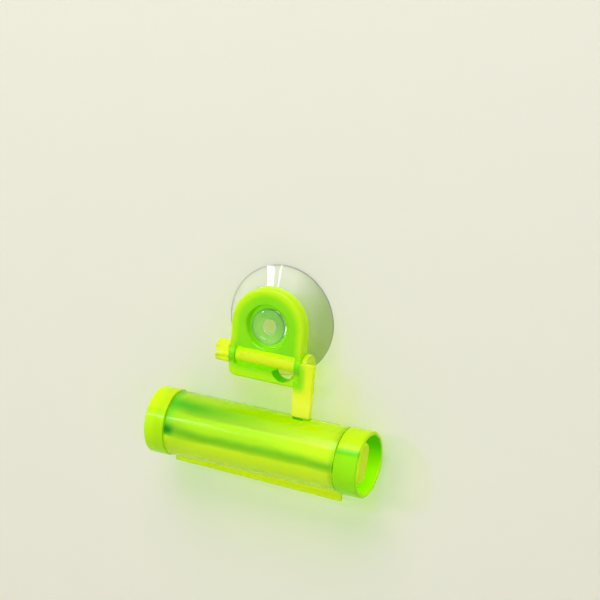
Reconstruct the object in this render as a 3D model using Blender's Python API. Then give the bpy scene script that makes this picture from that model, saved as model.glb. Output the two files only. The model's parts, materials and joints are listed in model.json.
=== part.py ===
"""Tube squeezer on a suction cup: a slotted roller turns in a barrel that swings from a bracket.

Metres, +Z up, +X along the barrel, +Y into the wall. The origin is the suction cup's centre on the wall.
"""

from math import asin, cos, pi, radians, sin, sqrt

import bmesh
import bpy
from mathutils import Matrix, Vector

# Fits
GAP = 0.0003  # clearance between neighbouring pieces
CUT_MARGIN = 0.001  # how far a cutter runs past the face it opens

# Suction cup
CUP_RADIUS = 0.020
CUP_RIM_WIDTH = 0.0022  # flat sealing ring against the wall
CUP_RIM_THICKNESS = 0.0008
CUP_HOLLOW_DEPTH = 0.0022
CUP_SHOULDER_FILLET = 0.001
CUP_HEIGHT = 0.0076  # wall to the shoulder that the bracket sits on
CUP_SHOULDER_RADIUS = 0.0044
CUP_DISH_RADIUS = 0.0115  # where the cup's back turns up into its stem
CUP_DISH_HEIGHT = 0.0038
NECK_RADIUS = 0.0027
HEAD_RADIUS = 0.0066
HEAD_THICKNESS = 0.0026
HEAD_DIMPLE_RADIUS = 0.0042
HEAD_DIMPLE_DEPTH = 0.0005
HEAD_EDGE = 0.0007  # rounding of the head's edges

# Bracket
BRACKET_WIDTH = 0.0281
BRACKET_DEPTH = 0.0047
BRACKET_WALL = 0.0016
BRACKET_CORNER = 0.003
BRACKET_EDGE = 0.0009  # rounding of the front edge
WEB_THICKNESS = 0.0018  # floor of the well that holds the cup's head
WELL_GAP = 0.0013  # around the head
PIN_DROP = 0.0123  # neck axis to pin axis
PIN_SETBACK = 0.0036  # pin axis behind the bracket's front
LUG_THICKNESS = 0.0024
LUG_WALL = 0.0012  # around the pin's hole
WINDOW_HEADROOM = 0.0008  # window above the pin
WINDOW_FOOTROOM = 0.0004  # window below the pin
LUG_INSET = 0.0002  # lugs' outer ends inside the bracket's sides
BAR_HEIGHT = 0.0044  # bar below the window
NOTCH_CENTRE = 0.0072
NOTCH_HALF_WIDTH = 0.0039
NOTCH_DEPTH = 0.0029

# Arm and pin
PIN_RADIUS = 0.0028
SNAP_LENGTH = 0.0053
SNAP_RADIUS = 0.0041
SNAP_RIBS = 8
SNAP_RIB_DEPTH = 0.0004
SNAP_SLIT = 0.0015
SNAP_SLIT_DEPTH = 0.0095
HUB_WIDTH = 0.0018
HUB_PROUD = 0.0002  # hub's left end outside the strip's edge
HUB_BITE = 0.0005  # hub's front inside the strip
ARM_THICKNESS = 0.0019
ARM_FRONT = 0.006  # strip's front face in front of the pin axis
ARM_EDGE = 0.0004  # rounding of the strip's front edges
STRIP_RISE = 0.0025  # strip's top above the pin axis
STRIP_OVERHANG = 0.004  # strip's right edge past the hub
STRIP_TAPER = 0.0002  # right edge's slant
WING_DROP = 0.00395  # pin axis to where the strip widens in front of the bracket
WING_WIDTH = 0.0018
WING_TAPER = 0.00045  # left edge's slant
FOOT_WIDTH = 0.0034
FOOT_INSET = 0.0006  # from the strip's lower left corner
FOOT_THICKNESS = 0.001
FOOT_REACH = 0.0012  # foot below the shell's wall
FOOT_BARB = 0.0008

# Barrel
BARREL_DROP = 0.0292  # pin axis to barrel axis
BARREL_FORWARD = 0.0036  # barrel axis in front of the pin axis
SHELL_LENGTH = 0.0658
SHELL_SHIFT = 0.0012  # middle of the shell to the right of the cup's axis
SHELL_RADIUS = 0.0116
SHELL_WALL = 0.0013
OPENING_BACK = radians(-43)  # back wall's lower edge, measured from straight back
LIP_THICKNESS = 0.0013
LIP_FORWARD = 0.0004  # lip's front face in front of the barrel axis
LIP_INSET = 0.0002  # lip's ends inside the shell's
LIP_DROP_LEFT = 0.0138  # lip's lower edge under the barrel axis
LIP_DROP_RIGHT = 0.0155
END_WALL = 0.0018

# Caps
CAP_PROUD = 0.0004  # caps outside the shell's wall
CAP_CHAMFER = 0.0009
CAP_WALL = 0.0016
LEFT_CAP_LENGTH = 0.0077
LEFT_CAP_RECESS = 0.0034
SPIGOT_LENGTH = 0.003
KNOB_LENGTH = 0.0088
KNOB_FLOOR = 0.0025
GRIP_LENGTH = 0.015
GRIP_THICKNESS = 0.007
GRIP_RECESS = 0.002  # grip bar below the rim
GRIP_EDGE = 0.0006
GRIP_TILT = radians(10)

# Roller
ROLLER_RADIUS = 0.0055
SLOT_WIDTH = 0.0022
SLOT_INSET = 0.0015  # solid length left at each end of the slot
SLOT_TURN = radians(22)  # the slot's lower mouth faces the shell's opening
JOURNAL_RADIUS = 0.003
JOURNAL_SNAP_LENGTH = 0.0018
JOURNAL_SNAP_RADIUS = 0.0037
JOURNAL_SLIT = 0.0011
TENON_HEIGHT = 0.0064
TENON_THICKNESS = 0.003
TENON_LENGTH = 0.0045

# Segments of the round stretches
ROUND_STEPS = 64
SMALL_STEPS = 32
SHELL_STEPS = 84
ROLLER_STEPS = 48
ARCH_STEPS = 40
END_STEPS = 16
WELD = 1e-7  # points nearer than this are one
SMOOTH_BELOW = radians(35)  # edges flatter than this are shaded smooth

# Places that follow from the sizes
WEB_BACK_Y = -(CUP_HEIGHT + GAP)
WEB_FRONT_Y = WEB_BACK_Y - WEB_THICKNESS
HEAD_BACK_Y = WEB_FRONT_Y - GAP
BRACKET_FRONT_Y = WEB_BACK_Y - BRACKET_DEPTH
HALF_WIDTH = BRACKET_WIDTH / 2
PIN_Y = BRACKET_FRONT_Y + PIN_SETBACK
PIN_Z = -PIN_DROP
HOLE_RADIUS = PIN_RADIUS + GAP
LUG_RADIUS = HOLE_RADIUS + LUG_WALL
LUG_OUTER_X = HALF_WIDTH - LUG_INSET
LUG_INNER_X = HALF_WIDTH - LUG_THICKNESS
WINDOW_TOP_Z = PIN_Z + PIN_RADIUS + WINDOW_HEADROOM
WINDOW_BOTTOM_Z = PIN_Z - PIN_RADIUS - WINDOW_FOOTROOM
BRACKET_BOTTOM_Z = WINDOW_BOTTOM_Z - BAR_HEIGHT
ARM_LEFT_X = HALF_WIDTH + GAP
ARM_RIGHT_X = ARM_LEFT_X + HUB_WIDTH
ARM_FRONT_Y = PIN_Y - ARM_FRONT
ARM_BACK_Y = ARM_FRONT_Y + ARM_THICKNESS
ARM_HUB_RADIUS = ARM_FRONT - ARM_THICKNESS + HUB_BITE
ARM_MIDDLE_Y = ARM_FRONT_Y + ARM_THICKNESS / 2
STRIP_LEFT_X = ARM_LEFT_X + HUB_PROUD
STRIP_RIGHT_X = ARM_RIGHT_X + STRIP_OVERHANG
WING_LEFT_X = ARM_LEFT_X - WING_WIDTH
WING_TOP_Z = PIN_Z - WING_DROP
FOOT_LEFT_X = WING_LEFT_X + WING_TAPER + FOOT_INSET
FOOT_RIGHT_X = FOOT_LEFT_X + FOOT_WIDTH
SNAP_RIGHT_X = -HALF_WIDTH - GAP
SNAP_LEFT_X = SNAP_RIGHT_X - SNAP_LENGTH
BARREL_Y = PIN_Y - BARREL_FORWARD
BARREL_Z = PIN_Z - BARREL_DROP
SHELL_LEFT_X = SHELL_SHIFT - SHELL_LENGTH / 2
SHELL_RIGHT_X = SHELL_SHIFT + SHELL_LENGTH / 2
SHELL_INNER = SHELL_RADIUS - SHELL_WALL
CAP_RADIUS = SHELL_RADIUS + CAP_PROUD
KNOB_LEFT_X = SHELL_RIGHT_X + GAP
KNOB_RIGHT_X = KNOB_LEFT_X + KNOB_LENGTH
CAP_RIGHT_X = SHELL_LEFT_X - GAP
CAP_LEFT_X = CAP_RIGHT_X - LEFT_CAP_LENGTH
CAP_FLOOR_X = CAP_LEFT_X + LEFT_CAP_RECESS
SPIGOT_RIGHT_X = CAP_RIGHT_X + SPIGOT_LENGTH
ROLLER_LEFT_X = SPIGOT_RIGHT_X + GAP
ROLLER_RIGHT_X = KNOB_LEFT_X - GAP

# Right-handed turns of the turning axis from +Z
ALONG_X = Matrix.Rotation(pi / 2, 4, "Y")
ALONG_MINUS_Y = Matrix.Rotation(pi / 2, 4, "X")


def plastic(name, colour, roughness, transmission):
    """A see-through moulded plastic."""
    material = bpy.data.materials.new(name)
    material.use_nodes = True
    shader = material.node_tree.nodes["Principled BSDF"]
    shader.inputs["Base Color"].default_value = (*colour, 1)
    shader.inputs["Roughness"].default_value = roughness
    shader.inputs["Metallic"].default_value = 0
    shader.inputs["Transmission Weight"].default_value = transmission
    material.diffuse_color = (*colour, 1)
    return material


def finish(mesh_tools, name, material=None):
    """Writes the bmesh to a new object with outward faces, smooth except at its edges."""
    bmesh.ops.remove_doubles(mesh_tools, verts=mesh_tools.verts, dist=WELD)
    bmesh.ops.recalc_face_normals(mesh_tools, faces=mesh_tools.faces)
    mesh = bpy.data.meshes.new(name)
    mesh_tools.to_mesh(mesh)
    mesh_tools.free()
    mesh.shade_smooth()
    mesh.set_sharp_from_angle(angle=SMOOTH_BELOW)
    piece = bpy.data.objects.new(name, mesh)
    bpy.context.scene.collection.objects.link(piece)
    if material:
        mesh.materials.append(material)
    else:
        piece.hide_render = True
        piece.display_type = "WIRE"
    return piece


def turned(name, profile, turn, centre, material=None, steps=ROUND_STEPS):
    """Spins (radius, height) points, from axis to axis, round local Z, then turns that axis and moves it."""
    tools = bmesh.new()
    points = [tools.verts.new((radius, 0, height)) for radius, height in profile]
    edges = [tools.edges.new(pair) for pair in zip(points, points[1:])]
    bmesh.ops.spin(
        tools, geom=points + edges, cent=(0, 0, 0), axis=(0, 0, 1), angle=2 * pi, steps=steps, use_merge=True
    )
    bmesh.ops.dissolve_degenerate(tools, edges=tools.edges, dist=WELD)
    tools.transform(Matrix.Translation(centre) @ turn)
    return finish(tools, name, material)


def extruded(name, outline, first, last, axis, material=None, rounding=0):
    """A flat outline of (u, v) points pushed from first to last along X (u=Y, v=Z) or Y (u=X, v=Z).

    The edge of the last face can be rounded.
    """
    tools = bmesh.new()
    if axis == "X":
        points = [tools.verts.new((first, u, v)) for u, v in outline]
        push = Vector((last - first, 0, 0))
    else:
        points = [tools.verts.new((u, first, v)) for u, v in outline]
        push = Vector((0, last - first, 0))
    face = tools.faces.new(points)
    grown = bmesh.ops.extrude_face_region(tools, geom=[face])["geom"]
    moved = [item for item in grown if isinstance(item, bmesh.types.BMVert)]
    bmesh.ops.translate(tools, vec=push, verts=moved)
    if rounding:
        last_face = next(item for item in grown if isinstance(item, bmesh.types.BMFace))
        bmesh.ops.bevel(
            tools, geom=list(last_face.edges), offset=rounding, segments=3, profile=0.5, affect="EDGES"
        )
    return finish(tools, name, material)


def box(name, low, high, material=None):
    """A box between two corners."""
    tools = bmesh.new()
    bmesh.ops.create_cube(tools, size=1)
    size = Vector(high) - Vector(low)
    middle = (Vector(high) + Vector(low)) / 2
    tools.transform(Matrix.Translation(middle) @ Matrix.Diagonal((*size, 1)))
    return finish(tools, name, material)


def disc(radius, start, end):
    """Profile of a plain round bar between two heights."""
    return [(0, start), (radius, start), (radius, end), (0, end)]


def rod(name, radius, start_x, end_x, y, z, material=None, steps=SMALL_STEPS):
    """A round bar along X."""
    return turned(name, disc(radius, start_x, end_x), ALONG_X, (0, y, z), material, steps)


def combine(piece, other, operation):
    """Joins the other solid to the piece or cuts it away."""
    modifier = piece.modifiers.new(other.name, "BOOLEAN")
    modifier.operation = operation
    modifier.object = other
    modifier.solver = "EXACT"


def join(piece, *others):
    for other in others:
        combine(piece, other, "UNION")


def cut(piece, *others):
    for other in others:
        combine(piece, other, "DIFFERENCE")


def arc(centre_u, centre_v, radius, start, end, steps):
    """Points on an arc, angles in radians from +u towards +v."""
    turns = [start + (end - start) * i / steps for i in range(steps + 1)]
    return [(centre_u + radius * cos(a), centre_v + radius * sin(a)) for a in turns]


def arch_outline(half_width, bottom, corner, steps):
    """Half-round top about the neck axis, straight sides, rounded bottom corners."""
    left = arc(-half_width + corner, bottom + corner, corner, pi, 1.5 * pi, steps // 4)
    right = arc(half_width - corner, bottom + corner, corner, -pi / 2, 0, steps // 4)
    top = arc(0, 0, half_width, 0, pi, steps)
    return left + right + top


def suction_cup(material):
    """Soft cup, neck and head, turned round the wall's normal; heights run from the wall outwards."""
    rim_inner = CUP_RADIUS - CUP_RIM_WIDTH
    head_back = -HEAD_BACK_Y
    head_front = head_back + HEAD_THICKNESS
    hollow_steps = 5
    hollow = [
        (rim_inner * i / hollow_steps, CUP_HOLLOW_DEPTH * (1 - (i / hollow_steps) ** 2))
        for i in range(hollow_steps + 1)
    ]
    back = [
        (CUP_RADIUS, 0),
        (CUP_RADIUS, CUP_RIM_THICKNESS),
        (CUP_DISH_RADIUS, CUP_DISH_HEIGHT),
        (CUP_SHOULDER_RADIUS + CUP_SHOULDER_FILLET, CUP_HEIGHT - CUP_SHOULDER_FILLET),
        (CUP_SHOULDER_RADIUS, CUP_HEIGHT),
        (NECK_RADIUS, CUP_HEIGHT),
    ]
    head = [
        (NECK_RADIUS, head_back),
        (HEAD_RADIUS - HEAD_EDGE, head_back),
        (HEAD_RADIUS, head_back + HEAD_EDGE),
        (HEAD_RADIUS, head_front - HEAD_EDGE),
        (HEAD_RADIUS - HEAD_EDGE, head_front),
        (HEAD_DIMPLE_RADIUS, head_front),
        (HEAD_DIMPLE_RADIUS - HEAD_DIMPLE_DEPTH, head_front - HEAD_DIMPLE_DEPTH),
        (0, head_front - HEAD_DIMPLE_DEPTH),
    ]
    return turned("suction_cup", hollow + back + head, ALONG_MINUS_Y, (0, 0, 0), material)


def hanger_bracket(material):
    """Arched plate with a skin, a side wall, a well round the cup's head, two lugs and a lower bar."""
    outer = arch_outline(HALF_WIDTH, BRACKET_BOTTOM_Z, BRACKET_CORNER, ARCH_STEPS)
    plate = extruded("hanger_bracket", outer, WEB_BACK_Y, BRACKET_FRONT_Y, "Y", material, BRACKET_EDGE)

    pocket_outline = arch_outline(
        HALF_WIDTH - BRACKET_WALL, WINDOW_TOP_Z + BRACKET_WALL, BRACKET_WALL, ARCH_STEPS
    )
    pocket = extruded(
        "bracket_pocket", pocket_outline, BRACKET_FRONT_Y + BRACKET_WALL, WEB_BACK_Y + CUT_MARGIN, "Y"
    )
    well_radius = HEAD_RADIUS + WELL_GAP
    boss_profile = disc(well_radius + BRACKET_WALL, -WEB_BACK_Y, -BRACKET_FRONT_Y - BRACKET_WALL / 2)
    boss = turned("bracket_boss", boss_profile, ALONG_MINUS_Y, (0, 0, 0))
    well_profile = disc(well_radius, -WEB_FRONT_Y, -BRACKET_FRONT_Y + CUT_MARGIN)
    well = turned("bracket_well", well_profile, ALONG_MINUS_Y, (0, 0, 0))
    neck_profile = disc(NECK_RADIUS + GAP, -WEB_BACK_Y - CUT_MARGIN, -WEB_FRONT_Y + CUT_MARGIN)
    neck_hole = turned("bracket_neck_hole", neck_profile, ALONG_MINUS_Y, (0, 0, 0), steps=SMALL_STEPS)
    deepest = PIN_Y + LUG_RADIUS + CUT_MARGIN
    window = box(
        "bracket_window",
        (-LUG_INNER_X, BRACKET_FRONT_Y - CUT_MARGIN, WINDOW_BOTTOM_Z),
        (LUG_INNER_X, deepest, WINDOW_TOP_Z),
    )
    left_lug = rod("left_lug", LUG_RADIUS, -LUG_OUTER_X, CUT_MARGIN - LUG_INNER_X, PIN_Y, PIN_Z)
    right_lug = rod("right_lug", LUG_RADIUS, LUG_INNER_X - CUT_MARGIN, LUG_OUTER_X, PIN_Y, PIN_Z)
    pin_hole = rod(
        "bracket_pin_hole", HOLE_RADIUS, -HALF_WIDTH - CUT_MARGIN, HALF_WIDTH + CUT_MARGIN, PIN_Y, PIN_Z
    )
    notch = extruded("bracket_notch", notch_outline(), BRACKET_FRONT_Y - CUT_MARGIN, deepest, "Y")
    join(plate, left_lug, right_lug)
    cut(plate, pocket)
    join(plate, boss)
    cut(plate, well, neck_hole, window, pin_hole, notch)
    return plate


def notch_outline():
    """Half-moon notch in the top edge of the lower bar."""
    radius = (NOTCH_HALF_WIDTH**2 + NOTCH_DEPTH**2) / (2 * NOTCH_DEPTH)
    spread = asin(min(1, NOTCH_HALF_WIDTH / radius))
    centre_z = WINDOW_BOTTOM_Z - NOTCH_DEPTH + radius
    moon = arc(NOTCH_CENTRE, centre_z, radius, -pi / 2 - spread, -pi / 2 + spread, END_STEPS)
    top_z = WINDOW_BOTTOM_Z + CUT_MARGIN
    return moon + [(NOTCH_CENTRE + NOTCH_HALF_WIDTH, top_z), (NOTCH_CENTRE - NOTCH_HALF_WIDTH, top_z)]


def snap_outline():
    """Ribbed round section of the pin's snap end."""
    steps = SNAP_RIBS * 6
    points = []
    for i in range(steps):
        a = 2 * pi * i / steps
        radius = SNAP_RADIUS - SNAP_RIB_DEPTH * (0.5 - 0.5 * cos(SNAP_RIBS * a))
        points.append((PIN_Y + radius * cos(a), PIN_Z + radius * sin(a)))
    return points


def shell_surface_z(radius, y):
    """Height of the barrel's round roof of this radius at depth y."""
    return BARREL_Z + sqrt(radius**2 - (y - BARREL_Y) ** 2)


def hanger_arm(material):
    """Hub right of the bracket, the strip before it, the pin through both lugs, the foot in the barrel."""
    arm = rod("hanger_arm", ARM_HUB_RADIUS, ARM_LEFT_X, ARM_RIGHT_X, PIN_Y, PIN_Z, material, ROUND_STEPS)
    strip_end_z = shell_surface_z(SHELL_RADIUS, ARM_BACK_Y) + GAP
    strip_outline = [
        (STRIP_RIGHT_X, PIN_Z + STRIP_RISE),
        (STRIP_LEFT_X, PIN_Z + STRIP_RISE),
        (STRIP_LEFT_X, WING_TOP_Z),
        (WING_LEFT_X, WING_TOP_Z),
        (WING_LEFT_X + WING_TAPER, strip_end_z),
        (STRIP_RIGHT_X - STRIP_TAPER, strip_end_z),
    ]
    strip = extruded("arm_strip", strip_outline, ARM_BACK_Y, ARM_FRONT_Y, "Y", rounding=ARM_EDGE)
    pin = rod("arm_pin", PIN_RADIUS, SNAP_LEFT_X + SNAP_LENGTH / 2, ARM_LEFT_X + CUT_MARGIN, PIN_Y, PIN_Z)
    snap = extruded("arm_snap", snap_outline(), SNAP_LEFT_X, SNAP_RIGHT_X, "X")
    slit = box(
        "arm_slit",
        (SNAP_LEFT_X - CUT_MARGIN, PIN_Y - SNAP_RADIUS - CUT_MARGIN, PIN_Z - SNAP_SLIT / 2),
        (SNAP_LEFT_X + SNAP_SLIT_DEPTH, PIN_Y + SNAP_RADIUS + CUT_MARGIN, PIN_Z + SNAP_SLIT / 2),
    )
    front_y, back_y = ARM_MIDDLE_Y - FOOT_THICKNESS / 2, ARM_MIDDLE_Y + FOOT_THICKNESS / 2
    barb_z = shell_surface_z(SHELL_INNER, ARM_FRONT_Y) - GAP
    foot_outline = [
        (front_y, strip_end_z + CUT_MARGIN),
        (front_y, barb_z),
        (front_y - FOOT_BARB, barb_z),
        (front_y, barb_z - FOOT_REACH),
        (back_y, barb_z - FOOT_REACH),
        (back_y, strip_end_z + CUT_MARGIN),
    ]
    foot = extruded("arm_foot", foot_outline, FOOT_LEFT_X, FOOT_RIGHT_X, "X")
    join(arm, strip, pin, snap, foot)
    cut(arm, slit)
    return arm


def ring_outline(outer, inner, start, end, steps):
    """Part of a ring about the barrel axis, angles from straight back upwards."""
    outside = arc(BARREL_Y, BARREL_Z, outer, start, end, steps)
    inside = arc(BARREL_Y, BARREL_Z, inner, end, start, steps)
    return outside + inside


def barrel_shell(material):
    """Round shell open along its lower back, a lip under it, an end wall with the roller's bearing hole."""
    lip_back_y = BARREL_Y - LIP_FORWARD + LIP_THICKNESS
    front_end = 1.5 * pi + asin((LIP_THICKNESS - LIP_FORWARD) / 2 / SHELL_RADIUS)
    outline = ring_outline(SHELL_RADIUS, SHELL_INNER, OPENING_BACK, front_end, SHELL_STEPS)
    shell = extruded("barrel_shell", outline, SHELL_LEFT_X, SHELL_RIGHT_X, "X", material)
    lip_top = BARREL_Z - (SHELL_RADIUS + SHELL_INNER) / 2
    lip_outline = [
        (SHELL_LEFT_X + LIP_INSET, lip_top),
        (SHELL_LEFT_X + LIP_INSET, BARREL_Z - LIP_DROP_LEFT),
        (SHELL_RIGHT_X - LIP_INSET, BARREL_Z - LIP_DROP_RIGHT),
        (SHELL_RIGHT_X - LIP_INSET, lip_top),
    ]
    lip = extruded("shell_lip", lip_outline, lip_back_y, BARREL_Y - LIP_FORWARD, "Y")
    end_wall = rod(
        "shell_end_wall",
        (SHELL_RADIUS + SHELL_INNER) / 2,
        SHELL_RIGHT_X - END_WALL,
        SHELL_RIGHT_X - LIP_INSET / 2,
        BARREL_Y,
        BARREL_Z,
        steps=ROUND_STEPS,
    )
    bearing = rod(
        "shell_bearing",
        ROLLER_RADIUS + GAP,
        SHELL_RIGHT_X - END_WALL - CUT_MARGIN,
        SHELL_RIGHT_X + CUT_MARGIN,
        BARREL_Y,
        BARREL_Z,
        steps=ROUND_STEPS,
    )
    half_slot = FOOT_THICKNESS / 2 + GAP
    slot = box(
        "shell_foot_slot",
        (FOOT_LEFT_X - GAP, ARM_MIDDLE_Y - half_slot, shell_surface_z(SHELL_INNER, ARM_FRONT_Y) - CUT_MARGIN),
        (FOOT_RIGHT_X + GAP, ARM_MIDDLE_Y + half_slot, BARREL_Z + SHELL_RADIUS + CUT_MARGIN),
    )
    join(shell, lip, end_wall)
    cut(shell, bearing, slot)
    return shell


def left_end_cap(material):
    """Round cap with a recess outside, a spigot inside the shell and the journal's bore."""
    spigot_radius = SHELL_INNER - GAP
    bore = JOURNAL_RADIUS + GAP
    recess = CAP_RADIUS - CAP_WALL
    profile = [
        (bore, CAP_FLOOR_X),
        (recess, CAP_FLOOR_X),
        (recess, CAP_LEFT_X),
        (CAP_RADIUS - CAP_CHAMFER, CAP_LEFT_X),
        (CAP_RADIUS, CAP_LEFT_X + CAP_CHAMFER),
        (CAP_RADIUS, CAP_RIGHT_X),
        (spigot_radius, CAP_RIGHT_X),
        (spigot_radius, SPIGOT_RIGHT_X),
        (bore, SPIGOT_RIGHT_X),
        (bore, CAP_FLOOR_X),
    ]
    return turned("left_end_cap", profile, ALONG_X, (0, BARREL_Y, BARREL_Z), material)


def winding_roller(material):
    """Slotted shaft with a split snap journal on the left and a tenon on the right."""
    journal_end = CAP_FLOOR_X - GAP
    snap_end = journal_end - JOURNAL_SNAP_LENGTH
    profile = [
        (0, snap_end),
        (JOURNAL_RADIUS - GAP, snap_end),
        (JOURNAL_SNAP_RADIUS, journal_end),
        (JOURNAL_RADIUS, journal_end),
        (JOURNAL_RADIUS, ROLLER_LEFT_X),
        (ROLLER_RADIUS, ROLLER_LEFT_X),
        (ROLLER_RADIUS, ROLLER_RIGHT_X),
        (0, ROLLER_RIGHT_X),
    ]
    roller = turned("winding_roller", profile, ALONG_X, (0, BARREL_Y, BARREL_Z), material, ROLLER_STEPS)
    tenon = box(
        "roller_tenon",
        (ROLLER_RIGHT_X - CUT_MARGIN, BARREL_Y - TENON_THICKNESS / 2, BARREL_Z - TENON_HEIGHT / 2),
        (ROLLER_RIGHT_X + TENON_LENGTH, BARREL_Y + TENON_THICKNESS / 2, BARREL_Z + TENON_HEIGHT / 2),
    )
    slot_right_x = SHELL_RIGHT_X - END_WALL - SLOT_INSET
    slot_reach = ROLLER_RADIUS + CUT_MARGIN
    slot = box(
        "roller_slot",
        (ROLLER_LEFT_X + SLOT_INSET, BARREL_Y - SLOT_WIDTH / 2, BARREL_Z - slot_reach),
        (slot_right_x, BARREL_Y + SLOT_WIDTH / 2, BARREL_Z + slot_reach),
    )
    barrel_axis = Vector((0, BARREL_Y, BARREL_Z))
    turn = Matrix.Translation(barrel_axis) @ Matrix.Rotation(SLOT_TURN, 4, "X")
    slot.data.transform(turn @ Matrix.Translation(-barrel_axis))
    slit = box(
        "roller_slit",
        (snap_end - CUT_MARGIN, BARREL_Y - JOURNAL_SLIT / 2, BARREL_Z - JOURNAL_SNAP_RADIUS - CUT_MARGIN),
        (ROLLER_LEFT_X - GAP, BARREL_Y + JOURNAL_SLIT / 2, BARREL_Z + JOURNAL_SNAP_RADIUS + CUT_MARGIN),
    )
    join(roller, tenon)
    cut(roller, slot, slit)
    return roller


def turning_knob(material):
    """Cup-shaped knob; a round-ended grip bar stands in its recess and takes the roller's tenon."""
    recess = CAP_RADIUS - CAP_WALL
    floor_x = KNOB_LEFT_X + KNOB_FLOOR
    profile = [
        (0, KNOB_LEFT_X),
        (CAP_RADIUS, KNOB_LEFT_X),
        (CAP_RADIUS, KNOB_RIGHT_X - CAP_CHAMFER),
        (CAP_RADIUS - CAP_CHAMFER, KNOB_RIGHT_X),
        (recess, KNOB_RIGHT_X),
        (recess, floor_x),
        (0, floor_x),
    ]
    knob = turned("turning_knob", profile, ALONG_X, (0, BARREL_Y, BARREL_Z), material)
    end_radius = GRIP_THICKNESS / 2
    reach = GRIP_LENGTH / 2 - end_radius
    lean_y, lean_z = reach * sin(GRIP_TILT), reach * cos(GRIP_TILT)
    top = arc(BARREL_Y + lean_y, BARREL_Z + lean_z, end_radius, -GRIP_TILT, pi - GRIP_TILT, END_STEPS)
    bottom = arc(
        BARREL_Y - lean_y, BARREL_Z - lean_z, end_radius, pi - GRIP_TILT, 2 * pi - GRIP_TILT, END_STEPS
    )
    grip = extruded(
        "knob_grip",
        top + bottom,
        floor_x - KNOB_FLOOR / 2,
        KNOB_RIGHT_X - GRIP_RECESS,
        "X",
        rounding=GRIP_EDGE,
    )
    half_thickness, half_height = TENON_THICKNESS / 2 + GAP, TENON_HEIGHT / 2 + GAP
    socket = box(
        "knob_socket",
        (KNOB_LEFT_X - CUT_MARGIN, BARREL_Y - half_thickness, BARREL_Z - half_height),
        (ROLLER_RIGHT_X + TENON_LENGTH + GAP, BARREL_Y + half_thickness, BARREL_Z + half_height),
    )
    join(knob, grip)
    cut(knob, socket)
    return knob


def hang(piece, carrier, origin):
    """Puts the piece's origin on the axis it turns on and parents it to its carrier; its shape stays put."""
    carrier_place = carrier.matrix_world.translation.copy() if carrier else Vector((0, 0, 0))
    piece.parent = carrier
    piece.data.transform(Matrix.Translation(-origin))
    piece.location = origin - carrier_place
    for modifier in piece.modifiers:
        modifier.object.parent = piece
        modifier.object.location = -origin
    bpy.context.view_layer.update()


def build():
    for old in list(bpy.data.objects):
        bpy.data.objects.remove(old)
    clear = plastic("clear_pvc", (0.86, 0.88, 0.82), 0.08, 0.9)
    green = plastic("green_plastic", (0.38, 0.78, 0.01), 0.15, 0.45)
    yellow_green = plastic("yellow_green_plastic", (0.60, 0.85, 0.01), 0.15, 0.5)
    dark_green = plastic("deep_green_plastic", (0.16, 0.62, 0.01), 0.2, 0.4)

    neck_axis = Vector((0, 0, 0))
    pin_axis = Vector((0, PIN_Y, PIN_Z))
    barrel_axis = Vector((0, BARREL_Y, BARREL_Z))
    cup = suction_cup(clear)
    bracket = hanger_bracket(green)
    arm = hanger_arm(yellow_green)
    roller = winding_roller(dark_green)
    hang(bracket, cup, neck_axis)
    hang(arm, bracket, pin_axis)
    hang(barrel_shell(green), arm, barrel_axis)
    hang(left_end_cap(green), arm, barrel_axis)
    hang(roller, arm, barrel_axis)
    hang(turning_knob(green), roller, barrel_axis)


build()
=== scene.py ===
import json
from math import acos, asin, atan2, ceil, cos, pi, radians, sin, sqrt, tan

import bpy
from mathutils import Matrix, Vector


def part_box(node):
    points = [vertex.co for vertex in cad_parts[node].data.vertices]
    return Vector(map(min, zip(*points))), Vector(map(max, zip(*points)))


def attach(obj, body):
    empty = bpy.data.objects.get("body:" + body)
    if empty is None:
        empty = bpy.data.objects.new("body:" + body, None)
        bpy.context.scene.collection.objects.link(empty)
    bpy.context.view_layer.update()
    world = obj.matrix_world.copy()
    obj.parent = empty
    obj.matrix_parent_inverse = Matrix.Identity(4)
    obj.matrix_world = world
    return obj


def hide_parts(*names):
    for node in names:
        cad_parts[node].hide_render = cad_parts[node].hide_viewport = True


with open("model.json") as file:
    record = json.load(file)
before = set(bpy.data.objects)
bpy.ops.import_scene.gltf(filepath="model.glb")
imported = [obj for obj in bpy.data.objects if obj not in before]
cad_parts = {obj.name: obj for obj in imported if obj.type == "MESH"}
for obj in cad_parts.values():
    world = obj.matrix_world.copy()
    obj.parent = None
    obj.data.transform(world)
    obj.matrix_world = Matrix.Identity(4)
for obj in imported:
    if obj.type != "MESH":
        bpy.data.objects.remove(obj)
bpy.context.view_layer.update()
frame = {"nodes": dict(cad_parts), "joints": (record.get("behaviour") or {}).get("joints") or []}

mm = 0.001
gap = 0.3 * mm  # between neighbouring pieces
past = 1 * mm  # cutters and joined parts run this far past a face

# places that the frame gives
joints = {joint["name"]: joint for joint in frame["joints"]}
pinAxis = Vector(joints["arm_hinge"]["pos_m"])
barrelAxis = Vector(joints["knob_turn"]["pos_m"])
bracketLow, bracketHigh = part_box("hanger_bracket")
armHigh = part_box("hanger_arm")[1]
shellLow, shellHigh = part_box("barrel_shell")
capLow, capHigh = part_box("left_end_cap")
rollerLow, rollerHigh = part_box("winding_roller")
knobLow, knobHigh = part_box("turning_knob")
print("frame loaded:", sorted(frame["nodes"]))


# tools for modelling

def deselect():
    if bpy.context.mode != "OBJECT":
        bpy.ops.object.mode_set(mode="OBJECT")
    bpy.ops.object.select_all(action="DESELECT")


def pick(piece):
    deselect()
    piece.select_set(True)
    bpy.context.view_layer.objects.active = piece


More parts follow.
